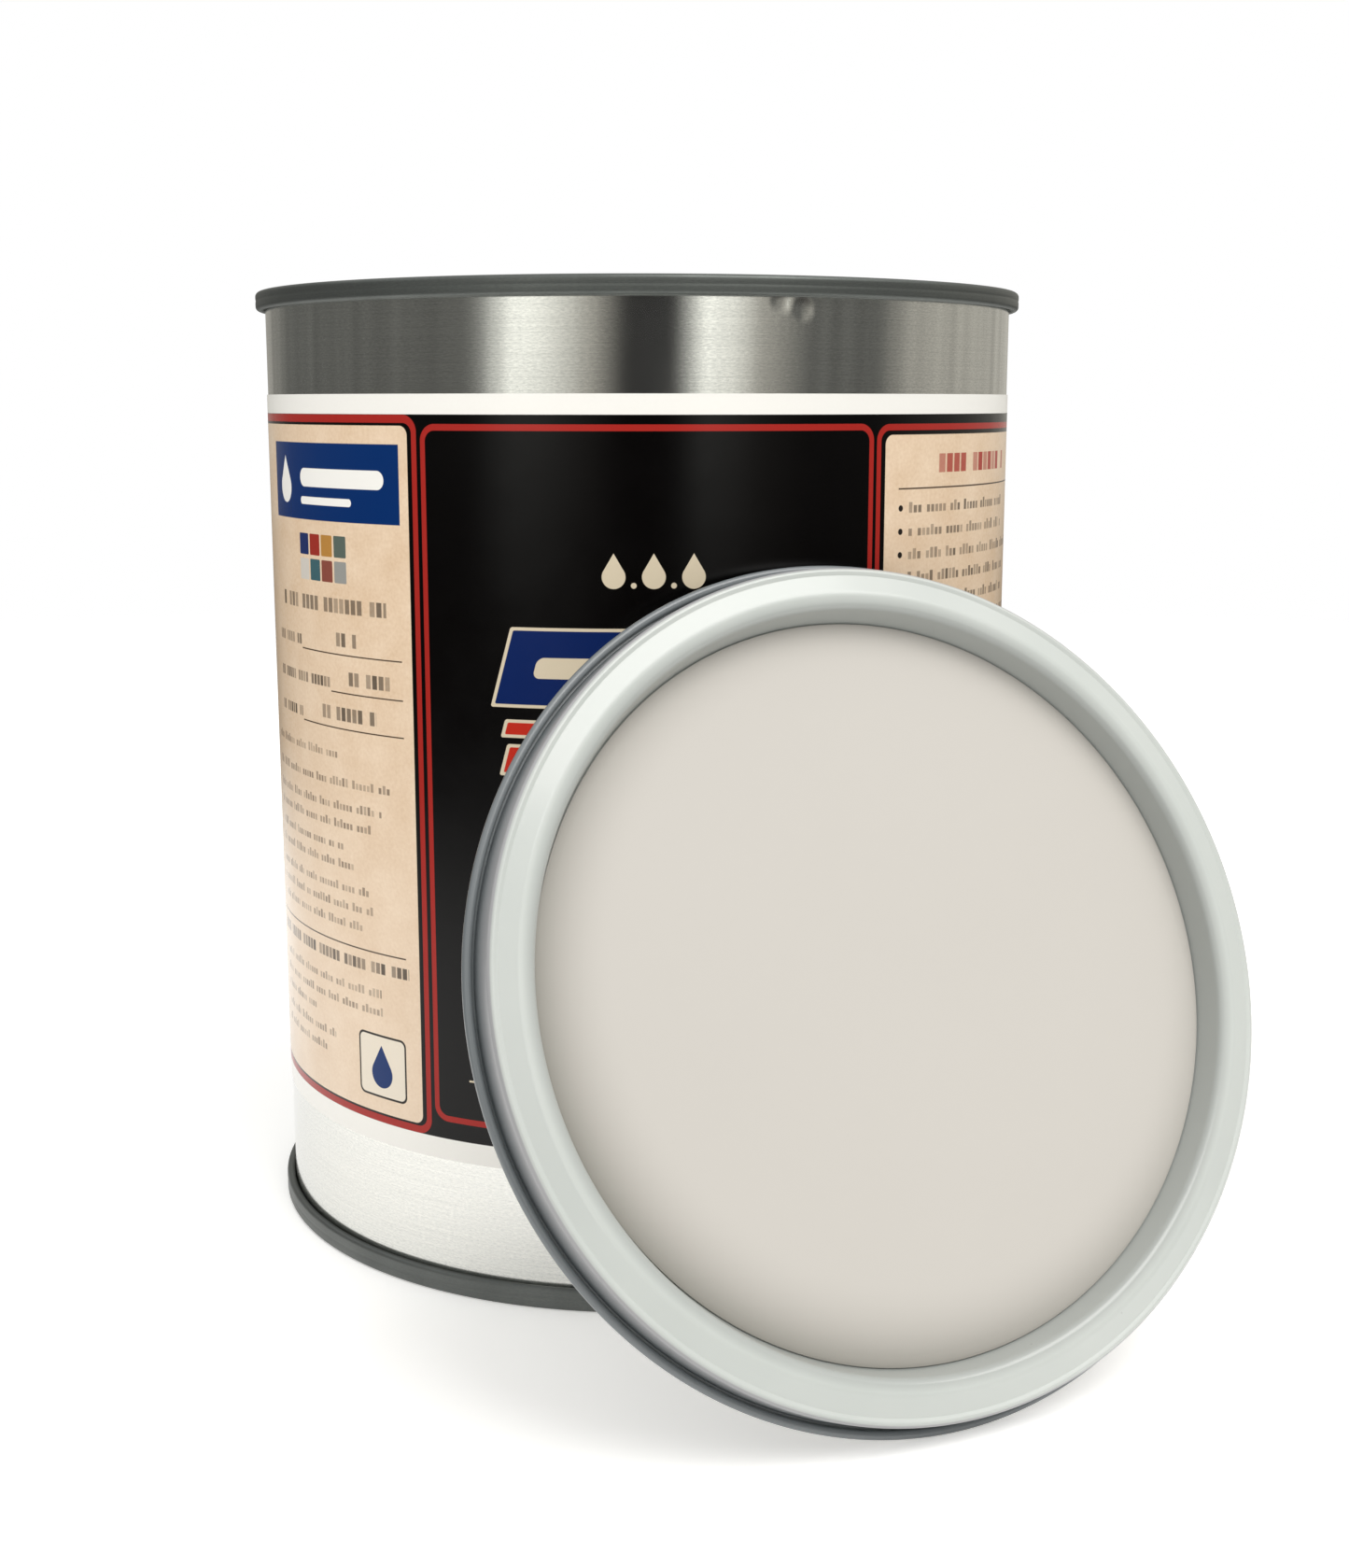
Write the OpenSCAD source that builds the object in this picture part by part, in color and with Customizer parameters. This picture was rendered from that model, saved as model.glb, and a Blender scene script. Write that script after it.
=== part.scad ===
/* [Can] */
// Height of the can over both seams
can_h = 131; // [125:1:160]
// Outside radius of the rolled tinplate body
body_r = 52.7; // [45:0.1:60]
// Thickness of the body's tinplate
body_t = 0.24; // [0.2:0.01:0.26]
// Thickness of the tinplate of the ring, the bottom and the lid
end_t = 0.28; // [0.24:0.01:0.3]
// Width of the weld's raised strip inside the body
weld_w = 1.2; // [0.6:0.1:3]

/* [Seams] */
// How far a seam stands out past the body
seam_out = 1.3; // [1.25:0.01:1.5]
// Height of the seam round the top
top_seam_h = 2.5; // [2.4:0.1:3.2]
// Height of the seam round the bottom
bottom_seam_h = 3.0; // [2.4:0.1:3.2]
// Free space between neighbouring hooks of a seam
hook_gap = 0.1; // [0.08:0.01:0.12]

/* [Ring] */
// Depth of the shelf, where the lid's edge rests, below the rim
shelf_depth = 2.6; // [2.2:0.1:3.5]
// Depth of the groove below the shelf
groove_depth = 6; // [5:0.1:8]
// Width of the groove between its two walls
groove_w = 6.5; // [6.3:0.1:7.5]
// How far the rolled edge of the mouth stays below the shelf
mouth_drop = 1.8; // [1.5:0.1:2.5]
// Width of the rolled edge round the mouth
mouth_hem_w = 2; // [1.9:0.1:2.4]

/* [Bottom] */
// Height of the outer part of the bottom panel above the floor
bottom_panel_h = 3.3; // [3:0.1:4]
// Rise of the stiffening step in the bottom panel
bottom_step_h = 0.8; // [0.4:0.1:1.2]

/* [Label] */
// Height of the label's lower edge above the floor
label_low = 18.3; // [10:0.1:20]
// Height of the paper label
label_h = 98.8; // [60:0.1:100]
// Thickness of the paper
label_t = 0.15; // [0.1:0.01:0.2]
// Width of the pasted lap at the back, in degrees round the can
label_lap = 11; // [8:1:16]

/* [Lid] */
// Radius over the lid's curled edge
lid_r = 51.9; // [51.5:0.1:51.9]
// Diameter of the curl along the lid's edge
curl_d = 1.1; // [1:0.05:1.2]
// Clearance between the lid's plug and the groove's outer wall
plug_clearance = 0.05; // [0.02:0.01:0.1]
// Height of the plug, from the back of the lid's edge to its crest
plug_h = 5.7; // [5:0.1:6.2]
// Height of the lid's flat panel above the back of its edge
panel_h = 1.55; // [1.2:0.05:2]
// Radius of the lid's flat panel
panel_r = 44.1; // [43.9:0.1:44.4]
// Thickness of the dried paint on the panel
film_t = 0.35; // [0.2:0.05:0.6]

/* [Lean] */
// Place of the leaning lid round the can, from the label's front
lean_turn = 23.2; // [0:0.1:60]
// How far the lid leans back from upright, in degrees
lean_back = 22.1; // [18:0.1:30]
// Gap between the lid's edge and the can that it leans on
lean_gap = 0.3; // [0.3:0.05:1]

/* [Hidden] */
$fn = 180;
// Segments in each bend of a profile
bend_n = 6;

// Radii of the sheets' middle lines in a seam, from the inside outwards
press_gap = 0.03;
wall_c = body_r - body_t / 2;
chuck_c = body_r - body_t - press_gap - end_t / 2;
end_hook_c = body_r + hook_gap + end_t / 2;
body_hook_c = end_hook_c + end_t / 2 + hook_gap + body_t / 2;
seam_wall_c = body_r + seam_out - end_t / 2;
// How deep the body's flange lies below the outer face of a seam
flange_in = end_t + hook_gap + body_t / 2;
hook_tip_gap = 0.6;
end_hook_tip = flange_in + body_t / 2 + 0.25;
body_bend = (body_hook_c - wall_c) / 2 - 0.01;
hook_bend = (seam_wall_c - end_hook_c) / 2 - 0.02;

// Ring: the shelf, groove and mouth
shelf_z = can_h - shelf_depth;
groove_out_r = 50.5;
groove_in_r = groove_out_r - groove_w;
groove_z = shelf_z - groove_depth;
mouth_top_z = shelf_z - mouth_drop;
mouth_r = groove_in_r - mouth_hem_w;
mouth_hem_h = 2.4;

// Lid: heights are measured from the back of its edge towards its underside
plug_r = groove_out_r - plug_clearance;
curl_bend = (curl_d - end_t) / 2 - 0.02;
crest_slope = 0.66;
plug_in_r = panel_r + end_t / 2 + 1.35;
// Centre of the leaning lid: its curl rests on the floor and nearly touches the label
curl_c_r = lid_r - curl_d / 2;
lean_z = curl_c_r * cos(lean_back) + curl_d / 2 * (1 - sin(lean_back));
lean_out = body_r + label_t + lean_gap + curl_c_r * sin(lean_back) + curl_d / 2 * (1 - cos(lean_back));

// The unit vector along v, and v turned a quarter turn to the left
function unit(v) = v / norm(v);
function left(v) = [-v[1], v[0]];

// Directions of the path before and after its point i
function dir_in(p, i) = let (k = max(i, 1)) unit(p[k] - p[k - 1]);
function dir_out(p, i) = let (k = min(i + 1, len(p) - 1)) unit(p[k] - p[k - 1]);

// The path p moved sideways by d
function moved(p, d) = [
  for (i = [0:len(p) - 1])
    let (a = left(dir_in(p, i)), b = left(dir_out(p, i)), m = unit(a + b))
      p[i] + m * d / (m * a)
];

function reversed(p) = [for (i = [len(p) - 1:-1:0]) p[i]];

// The outline of a sheet of thickness t along the middle line p
function sheet(p, t) = concat(moved(p, t / 2), reversed(moved(p, -t / 2)));

// A bend of radius r at b, between the straight runs a-b and b-c
function bend(a, b, c, r) =
  let (
    u = unit(a - b),
    v = unit(c - b),
    half = acos(u * v) / 2,
    m = b + unit(u + v) * r / sin(half),
    p = b + u * r / tan(half) - m,
    q = b + v * r / tan(half) - m,
    start = atan2(p[1], p[0]),
    sweep = atan2(cross(p, q), p * q)
  )
  [for (k = [0:bend_n]) m + r * [cos(start + sweep * k / bend_n), sin(start + sweep * k / bend_n)]];

// The middle line through stations [radius, height, bend radius]; no bend where the third is 0
function bent(s) = [
  for (i = [0:len(s) - 1])
    let (p = [s[i][0], s[i][1]])
      each s[i][2] == 0
        ? [p]
        : bend([s[i - 1][0], s[i - 1][1]], p, [s[i + 1][0], s[i + 1][1]], s[i][2])
];

// A piece pressed and rolled from one round sheet
module pressed(stations, t) {
  rotate_extrude() polygon(sheet(bent(stations), t));
}

// A plain ring between two radii
module band(r_in, r_out, low, high) {
  translate([0, 0, low])
    difference() {
      cylinder(r = r_out, h = high - low);
      translate([0, 0, -1]) cylinder(r = r_in, h = high - low + 2);
    }
}

// Rolled and welded tinplate body, flanged and hooked into both seams
module body_shell() {
  color([0.76, 0.77, 0.75]) {
    pressed([
      [body_hook_c, bottom_seam_h - hook_tip_gap, 0],
      [body_hook_c, flange_in, body_bend],
      [wall_c, flange_in, body_bend],
      [wall_c, can_h - flange_in, body_bend],
      [body_hook_c, can_h - flange_in, body_bend],
      [body_hook_c, can_h - top_seam_h + hook_tip_gap, 0]
    ], body_t);
    weld_strip();
  }
}

// The overlap of the body's welded side seam, raised on the inside at the back
module weld_strip() {
  r_out = body_r - body_t / 2;
  intersection() {
    band(body_r - body_t - 0.1, r_out, bottom_panel_h + 1.2, shelf_z - 1.2);
    translate([-weld_w / 2, 0, 0]) cube([weld_w, body_r, can_h]);
  }
}

// Ring seamed on the body: shelf, groove for the lid's plug, and the mouth's rolled edge
module top_ring() {
  shelf_c = shelf_z - end_t / 2;
  groove_c = groove_z - end_t / 2;
  mouth_c = mouth_top_z - end_t / 2;
  color([0.40, 0.42, 0.41])
    pressed([
      [end_hook_c, can_h - end_hook_tip, 0],
      [end_hook_c, can_h - top_seam_h + end_t / 2, hook_bend],
      [seam_wall_c, can_h - top_seam_h + end_t / 2, hook_bend],
      [seam_wall_c, can_h - end_t / 2, 0.45],
      [chuck_c, can_h - end_t / 2, 0.3],
      [chuck_c, shelf_c, 0.5],
      [groove_out_r + end_t / 2, shelf_c, 0.45],
      [groove_out_r + end_t / 2, groove_c, 0.9],
      [groove_in_r - end_t / 2, groove_c, 0.9],
      [groove_in_r - end_t / 2, mouth_c, 0.8],
      [mouth_r + end_t / 2, mouth_c, 0.8],
      [mouth_r + end_t / 2, mouth_top_z - mouth_hem_h, 0]
    ], end_t);
}

// Bottom disc seamed on the body, with a stepped panel that stays clear of the floor
module bottom_end() {
  panel_c = bottom_panel_h + end_t / 2;
  step_c = panel_c + bottom_step_h;
  color([0.42, 0.44, 0.43])
    pressed([
      [end_hook_c, end_hook_tip, 0],
      [end_hook_c, bottom_seam_h - end_t / 2, hook_bend],
      [seam_wall_c, bottom_seam_h - end_t / 2, hook_bend],
      [seam_wall_c, end_t / 2, 0.45],
      [chuck_c, end_t / 2, 0.3],
      [chuck_c, panel_c, 0.8],
      [46.5, panel_c, 0.8],
      [45.3, step_c, 0.8],
      [35, step_c, 0.8],
      [33.8, panel_c, 0.8],
      [0, panel_c, 0]
    ], end_t);
}

// Sealing compound between the body hook and the outer wall of a seam
module compound(low, high) {
  color([0.78, 0.74, 0.62])
    band(body_hook_c + body_t / 2 + 0.03, seam_wall_c - end_t / 2 - 0.03, low, high);
}

module top_seam_compound() {
  compound(can_h - top_seam_h + hook_tip_gap, can_h - end_t - 0.3);
}

module bottom_seam_compound() {
  compound(end_t + 0.3, bottom_seam_h - hook_tip_gap);
}

// Paper label wrapped once round the body and pasted over its own start at the back
module label() {
  gap = 0.02;
  r = body_r + gap + label_t;
  // The lap runs up an eccentric circle from one thickness of paper to two
  shift = label_t / (1 - cos(label_lap));
  reach = 2 * body_r;
  color([0.06, 0.06, 0.07]) {
    band(body_r + gap, r, label_low, label_low + label_h);
    rotate([0, 0, 90])
      intersection() {
        difference() {
          translate([shift, 0, label_low]) cylinder(r = r + label_t - shift, h = label_h);
          translate([0, 0, label_low - 1]) cylinder(r = r - label_t / 2, h = label_h + 2);
        }
        translate([0, -reach, 0]) cube([reach, reach, can_h]);
      }
  }
}

// Puts a lid that is drawn with its underside up where it leans on the can
module lean() {
  rotate([0, 0, lean_turn])
    translate([0, -lean_out, lean_z])
      rotate([90 - lean_back, 0, 0])
        children();
}

// Pressed lid: curled edge, hollow plug that fits the groove, and a flat panel
module lid_plate() {
  half = end_t / 2;
  color([0.80, 0.82, 0.80])
    lean()
      pressed([
        [lid_r - curl_d + half, curl_d / 2, 0],
        [lid_r - curl_d + half, curl_d - half, curl_bend],
        [lid_r - half, curl_d - half, curl_bend],
        [lid_r - half, half, curl_bend],
        [plug_r - half, half, 0.3],
        [plug_r - half - 0.1, plug_h - half - crest_slope, 1.1],
        [plug_in_r, plug_h - half, 1.5],
        [panel_r + half, panel_h - half, 0.6],
        [0, panel_h - half, 0]
      ], end_t);
}

// Dried paint that fills the corner of the lid's panel
module lid_paint_film() {
  low = panel_h + 0.01;
  high = panel_h + film_t;
  color([0.855, 0.84, 0.805])
    lean()
      rotate_extrude()
        polygon([
          [0, low],
          [panel_r - 0.75, low],
          [panel_r - 0.25, low + 0.18],
          [panel_r - 0.05, high],
          [0, high]
        ]);
}

body_shell();
top_ring();
bottom_end();
top_seam_compound();
bottom_seam_compound();
label();
lid_plate();
lid_paint_film();
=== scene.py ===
import math
import bmesh
import bpy
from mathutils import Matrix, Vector


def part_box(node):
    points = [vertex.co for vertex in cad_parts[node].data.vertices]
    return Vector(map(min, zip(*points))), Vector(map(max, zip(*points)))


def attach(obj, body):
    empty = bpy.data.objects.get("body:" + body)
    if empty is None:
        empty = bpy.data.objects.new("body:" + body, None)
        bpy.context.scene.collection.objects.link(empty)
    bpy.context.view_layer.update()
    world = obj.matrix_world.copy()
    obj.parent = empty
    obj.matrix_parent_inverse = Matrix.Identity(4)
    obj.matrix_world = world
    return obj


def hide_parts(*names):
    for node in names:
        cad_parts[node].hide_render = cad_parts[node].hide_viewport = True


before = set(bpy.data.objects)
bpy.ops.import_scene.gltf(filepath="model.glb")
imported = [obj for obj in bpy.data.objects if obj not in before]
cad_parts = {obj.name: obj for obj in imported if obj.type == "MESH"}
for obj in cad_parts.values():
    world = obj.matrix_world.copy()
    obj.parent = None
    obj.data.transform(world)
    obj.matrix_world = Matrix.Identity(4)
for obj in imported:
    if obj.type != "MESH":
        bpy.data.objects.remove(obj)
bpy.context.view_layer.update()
mm = 0.001


# Camera: 30 cm in front of the can and a little below its rim, tipped down so that the
# lid's foot is in view, and swung slightly to the right.
camera_height = 0.116
camera_distance = 0.2991
camera_tip = math.radians(10.66)
camera_swing = math.radians(1.0)

bpy.ops.object.select_all(action="DESELECT")
bpy.ops.object.camera_add(location=(0, -camera_distance, camera_height))
camera = bpy.context.object
camera.name = "camera"
camera.rotation_euler = (math.pi / 2 - camera_tip, 0, -camera_swing)
camera.data.sensor_width = 36
camera.data.lens = 46.5
camera.data.clip_start = 0.01
bpy.context.scene.camera = camera


# Floor: a plain board of white acrylic, lit a little from below as on a light table. It
# fades out towards its edge, so that no line shows where it ends. Not part of the can.
def add(tree, kind, inputs=None, **settings):
    """Puts a shader node in a tree; an input is a number, a colour or another node's output."""
    made = tree.nodes.new("ShaderNode" + kind)
    for key, value in settings.items():
        setattr(made, key, value)
    for key, value in (inputs or {}).items():
        if isinstance(value, bpy.types.NodeSocket):
            tree.links.new(value, made.inputs[key])
        else:
            made.inputs[key].default_value = value
    return made


def calc(tree, operation, *values, clamp=False):
    """One Math node; returns its output."""
    return add(tree, "Math", dict(enumerate(values)), operation=operation, use_clamp=clamp).outputs[0]


def mix_colour(tree, factor, a, b):
    """One colour Mix node; returns its output."""
    return add(tree, "Mix", {"Factor": factor, 6: a, 7: b}, data_type="RGBA").outputs[2]


def new_material(name):
    """A node material with nothing but its output; returns the material, its tree and the output."""
    material = bpy.data.materials.new(name)
    material.use_nodes = True
    tree = material.node_tree
    tree.nodes.clear()
    return material, tree, tree.nodes.new("ShaderNodeOutputMaterial")


def fade_over(tree, value, start, end):
    """Goes softly from 0 to 1 as a value goes from start to end; returns the output."""
    return add(tree, "MapRange", {0: value, 1: start, 2: end}, interpolation_type="SMOOTHSTEP").outputs[0]


floor_radius = 0.9
floor_fade = 0.45
floor_drop = 0.02 * mm
mirror_fade_start = 0.15
mirror_fade_end = 0.46
board_white = (0.92, 0.92, 0.915, 1)
board_bounce = (0.72, 0.72, 0.715, 1)
board_glow = 0.4
board_glow_bounce = 0.04

bpy.ops.mesh.primitive_circle_add(
    vertices=96, radius=floor_radius, fill_type="NGON", location=(0, 0, -floor_drop),
)
floor = bpy.context.object
floor.name = "floor"
board, tree, out = new_material("pale_board")
place = add(tree, "TexCoord").outputs["Object"]
reach = add(tree, "VectorMath", {0: place}, operation="LENGTH").outputs["Value"]
path = add(tree, "LightPath")
plain_fade = fade_over(tree, reach, floor_fade, floor_radius)
# In polished things the board ends sooner, and dull things get less light back from it
near_fade = fade_over(tree, reach, mirror_fade_start, mirror_fade_end)
fade = add(tree, "Mix", {"Factor": path.outputs["Is Glossy Ray"], 2: plain_fade, 3: near_fade}).outputs[0]
bounced = path.outputs["Is Diffuse Ray"]
acrylic = add(tree, "BsdfDiffuse", {"Color": mix_colour(tree, bounced, board_white, board_bounce)})
shine_up = calc(tree, "MULTIPLY_ADD", bounced, board_glow_bounce - board_glow, board_glow)
glow = add(tree, "Emission", {"Color": (1.0, 0.99, 0.96, 1), "Strength": shine_up})
board_lit = add(tree, "AddShader", {0: acrylic.outputs[0], 1: glow.outputs[0]})
clear = add(tree, "BsdfTransparent")
mixed = add(tree, "MixShader", {0: fade, 1: board_lit.outputs[0], 2: clear.outputs[0]})
tree.links.new(mixed.outputs[0], out.inputs["Surface"])
floor.data.materials.append(board)


# Light: a large soft box high on the right, a weaker one on the left, and a pale room.
# Only glossy surfaces see the room: pale walls, two soft boxes and dim gaps between them.
box_size = (0.7, 0.6)
key_power = 5.6
fill_power = 3.2
lamp_white = (1.0, 0.985, 0.96)
aim_point = Vector((0.01, -0.03, 0.06))


def soft_box(name, place, power):
    """A rectangular soft box, turned towards the middle of the can."""
    bpy.ops.object.light_add(type="AREA", location=place)
    lamp = bpy.context.object
    lamp.name = name
    lamp.data.shape = "RECTANGLE"
    lamp.data.size, lamp.data.size_y = box_size
    lamp.data.energy = power
    lamp.data.color = lamp_white
    aim = aim_point - Vector(place)
    lamp.rotation_euler = aim.to_track_quat("-Z", "Y").to_euler()
    return lamp


soft_box("key_box", (0.38, -0.42, 0.88), key_power)
# The fill lies on the can alone, so that the lid keeps its shape
fill = soft_box("fill_box", (-0.65, -0.65, 0.35), fill_power)
fill.visible_glossy = False
can_pieces = bpy.data.collections.new("can_pieces")
fill.light_linking.receiver_collection = can_pieces

room_low = math.radians(-3)
room_high = math.radians(34)
room_soft = math.radians(8)
room_lean = -0.35
fold_count = 14.0
skirting = (0.045, 0.04, 0.036, 1)
soft_grey = (0.80, 0.81, 0.80, 1)
sky_white = (1.0, 1.0, 0.99, 1)
sky_side = 0.44
sky_overhead = 0.75
sky_to_right = 0.02
# What stands round the can at its own height: (degrees round from the front, colour)
wall_tone = (0.50, 0.48, 0.43)
dim_tone = (0.15, 0.15, 0.14)
dark_tone = (0.03, 0.03, 0.03)
box_tone = (1.6, 1.6, 1.5)
room = [
    (-180, wall_tone),
    (-130, dim_tone),
    (-50, dim_tone),
    (-35, box_tone),
    (-15, wall_tone),
    (-5, dark_tone),
    (10, dark_tone),
    (20, box_tone),
    (35, wall_tone),
    (50, dim_tone),
    (75, dim_tone),
    (90, wall_tone),
]

world = bpy.data.worlds.new("studio")
bpy.context.scene.world = world
world.use_nodes = True
tree = world.node_tree
tree.nodes.clear()
ray = add(tree, "SeparateXYZ", {0: add(tree, "TexCoord").outputs["Generated"]})
turn = calc(tree, "ARCTAN2", ray.outputs["X"], calc(tree, "MULTIPLY", ray.outputs["Y"], -1.0))
# The walls' edges lean a little, and are broken up by narrow folds and gaps
leaning = calc(tree, "MULTIPLY_ADD", ray.outputs["Z"], room_lean, turn)
folds = add(tree, "TexNoise", {
    "W": calc(tree, "MULTIPLY", leaning, fold_count), "Scale": 1.0, "Detail": 3.0, "Roughness": 0.7,
}, noise_dimensions="1D").outputs[0]
wavering = calc(tree, "MULTIPLY_ADD", calc(tree, "SUBTRACT", folds, 0.5), 0.06, leaning)
share = calc(tree, "MULTIPLY_ADD", wavering, 0.5 / math.pi, 0.5)
walls = add(tree, "ValToRGB", {0: share})
ramp = walls.color_ramp.elements
ramp.remove(ramp[1])
for degrees, colour in room:
    stop = ramp[0] if degrees == -180 else ramp.new((degrees + 180) / 360)
    stop.position = (degrees + 180) / 360
    stop.color = (*colour, 1)
height = calc(tree, "ARCSINE", ray.outputs["Z"])
in_room = add(tree, "MapRange", {0: height, 1: room_high - room_soft, 2: room_high + room_soft, 3: 1, 4: 0})
floor_line = room_soft / 4
off_floor = add(tree, "MapRange", {0: height, 1: room_low - floor_line, 2: room_low + floor_line})
fold_light = calc(tree, "MULTIPLY_ADD", folds, 1.5, 0.25)
folded = add(tree, "VectorMath", {0: walls.outputs[0], "Scale": fold_light}, operation="SCALE").outputs[0]
upper = mix_colour(tree, in_room.outputs[0], soft_grey, folded)
glossy_sky = mix_colour(tree, off_floor.outputs[0], skirting, upper)
path = add(tree, "LightPath")
# Dull surfaces are lit more from overhead than from the sides, and least from the left
overhead = calc(tree, "MULTIPLY", calc(tree, "MAXIMUM", ray.outputs["Z"], 0.0), ray.outputs["Z"])
sideways = calc(tree, "MULTIPLY_ADD", ray.outputs["X"], sky_to_right, sky_side)
level = calc(tree, "MULTIPLY_ADD", overhead, sky_overhead, sideways)
soft_sky = mix_colour(tree, level, (0, 0, 0, 1), sky_white)
lit = mix_colour(tree, path.outputs["Is Glossy Ray"], soft_sky, glossy_sky)
shown = mix_colour(tree, path.outputs["Is Camera Ray"], lit, (1.0, 1.0, 1.0, 1))
sky = add(tree, "Background", {"Color": shown, "Strength": 1.0})
out = tree.nodes.new("ShaderNodeOutputWorld")
tree.links.new(sky.outputs[0], out.inputs["Surface"])
bpy.context.scene.view_settings.view_transform = "Standard"


# Body: one sheet of bright tinplate, rolled round, welded down the back and flanged at
# both ends. The flanges are folded into the seams, so only the wall between them shows.
ring_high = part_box("top_ring")[1]
label_low, label_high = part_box("label")
can_h = ring_high.z / mm
seam_r = ring_high.x / mm
body_t = 0.24
end_t = 0.28
paper_t = 0.15
paper_gap = 0.02
body_r = label_high.x / mm - paper_t - paper_gap
top_seam_h = 2.5
bottom_seam_h = 3.0
hook_gap = 0.1
hook_tip_gap = 0.6
wall_c = body_r - body_t / 2
end_hook_c = body_r + hook_gap + end_t / 2
body_hook_c = end_hook_c + end_t / 2 + hook_gap + body_t / 2
seam_wall_c = seam_r - end_t / 2
flange_in = end_t + hook_gap + body_t / 2
body_bend = (body_hook_c - wall_c) / 2 - 0.01
round_steps = 288


def choose(piece, test):
    """Selects, in edit mode, just the vertices whose place passes the test."""
    bpy.ops.mesh.select_all(action="DESELECT")
    mesh = bmesh.from_edit_mesh(piece.data)
    for vertex in mesh.verts:
        vertex.select_set(bool(test(vertex.co)))
    mesh.select_flush_mode()
    bmesh.update_edit_mesh(piece.data)


def draw_profile(name, corners, smoothness=6):
    """Draws half a section from one vertex, corner to corner, and rounds each corner.
    A corner is (radius, height, bend radius) in millimetres. Leaves the piece in edit mode."""
    bpy.ops.object.select_all(action="DESELECT")
    bpy.ops.mesh.primitive_plane_add(size=mm)
    piece = bpy.context.object
    piece.name = name
    bpy.ops.object.mode_set(mode="EDIT")
    bpy.ops.mesh.select_mode(type="VERT")
    bpy.ops.mesh.select_all(action="SELECT")
    bpy.ops.mesh.merge(type="CENTER")
    bpy.ops.transform.translate(value=(corners[0][0] * mm, 0, corners[0][1] * mm))
    for a, b in zip(corners, corners[1:]):
        step = ((b[0] - a[0]) * mm, 0, (b[1] - a[1]) * mm)
        bpy.ops.mesh.extrude_vertices_move(TRANSFORM_OT_translate={"value": step})
    for a, b, c in zip(corners, corners[1:], corners[2:]):
        if b[2] > 0:
            corner = Vector((b[0], 0, b[1])) * mm
            turned = (Vector(b[:2]) - Vector(a[:2])).angle(Vector(c[:2]) - Vector(b[:2]))
            choose(piece, lambda place: (place - corner).length < 0.002 * mm)
            run = b[2] * math.tan(turned / 2) * mm
            bpy.ops.mesh.bevel(offset=run, segments=smoothness, affect="VERTICES")
    return piece


def spin_round(piece, steps=round_steps):
    """Spins the section once round the can's axis and closes it."""
    bpy.ops.mesh.select_all(action="SELECT")
    bpy.ops.mesh.spin(steps=steps, angle=2 * math.pi, center=(0, 0, 0), axis=(0, 0, 1))
    bpy.ops.mesh.select_all(action="SELECT")
    bpy.ops.mesh.remove_doubles(threshold=0.004 * mm)
    bpy.ops.mesh.normals_make_consistent(inside=False)


def thicken(piece, sheet, back_material=0):
    """Leaves edit mode and gives the sheet its thickness, half to each side."""
    bpy.ops.object.mode_set(mode="OBJECT")
    wall = piece.modifiers.new("sheet", "SOLIDIFY")
    wall.thickness = sheet * mm
    wall.offset = 0
    wall.use_even_offset = True
    wall.material_offset = back_material
    wall.material_offset_rim = back_material
    bpy.ops.object.modifier_apply(modifier="sheet")
    bpy.ops.object.shade_smooth_by_angle(angle=math.radians(40))


tin_body = draw_profile("tin_body", [
    (body_hook_c, bottom_seam_h - hook_tip_gap, 0),
    (body_hook_c, flange_in, body_bend),
    (wall_c, flange_in, body_bend),
    (wall_c, 17, 0),
    *[(wall_c, height, 0) for height in range(119, 131)],
    (wall_c, can_h - flange_in, body_bend),
    (body_hook_c, can_h - flange_in, body_bend),
    (body_hook_c, can_h - top_seam_h + hook_tip_gap, 0),
])
spin_round(tin_body)
# A small creased knock just under the rim, right of the middle
knock_turn = math.radians(20.8)
knock_z = 127.6
knock = Vector((body_r * math.sin(knock_turn), -body_r * math.cos(knock_turn), knock_z)) * mm
choose(tin_body, lambda place: (place - knock).length < 4.5 * mm)
bpy.ops.mesh.subdivide(number_cuts=3)
for aside, up, depth in ((-1.5, 0.3, 0.11), (1.3, -0.5, 0.09)):
    turned = knock_turn + aside / body_r
    crease = Vector((body_r * math.sin(turned), -body_r * math.cos(turned), knock_z + up)) * mm
    choose(tin_body, lambda place: (place - crease).length < 0.42 * mm)
    bpy.ops.transform.translate(
        value=tuple(-depth * mm * Vector((crease.x, crease.y, 0)).normalized()),
        use_proportional_edit=True, proportional_size=1.5 * mm, proportional_edit_falloff="SMOOTH",
    )
thicken(tin_body, body_t)


def new_group(name, inputs, outputs):
    """A shader node group with named sockets; returns the group, its inputs and its output node."""
    group = bpy.data.node_groups.new(name, "ShaderNodeTree")
    for label, value in inputs.items():
        kind = "NodeSocketVector" if isinstance(value, tuple) else "NodeSocketFloat"
        made = group.interface.new_socket(label, in_out="INPUT", socket_type=kind)
        made.default_value = value
    for label, kind in outputs.items():
        group.interface.new_socket(label, in_out="OUTPUT", socket_type="NodeSocket" + kind)
    ins = group.nodes.new("NodeGroupInput").outputs
    return group, ins, group.nodes.new("NodeGroupOutput")


def place_group(tree, group, inputs):
    """Puts a finished node group in a tree."""
    made = tree.nodes.new("ShaderNodeGroup")
    made.node_tree = group
    for key, value in inputs.items():
        if isinstance(value, bpy.types.NodeSocket):
            tree.links.new(value, made.inputs[key])
        else:
            made.inputs[key].default_value = value
    return made.outputs


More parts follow.
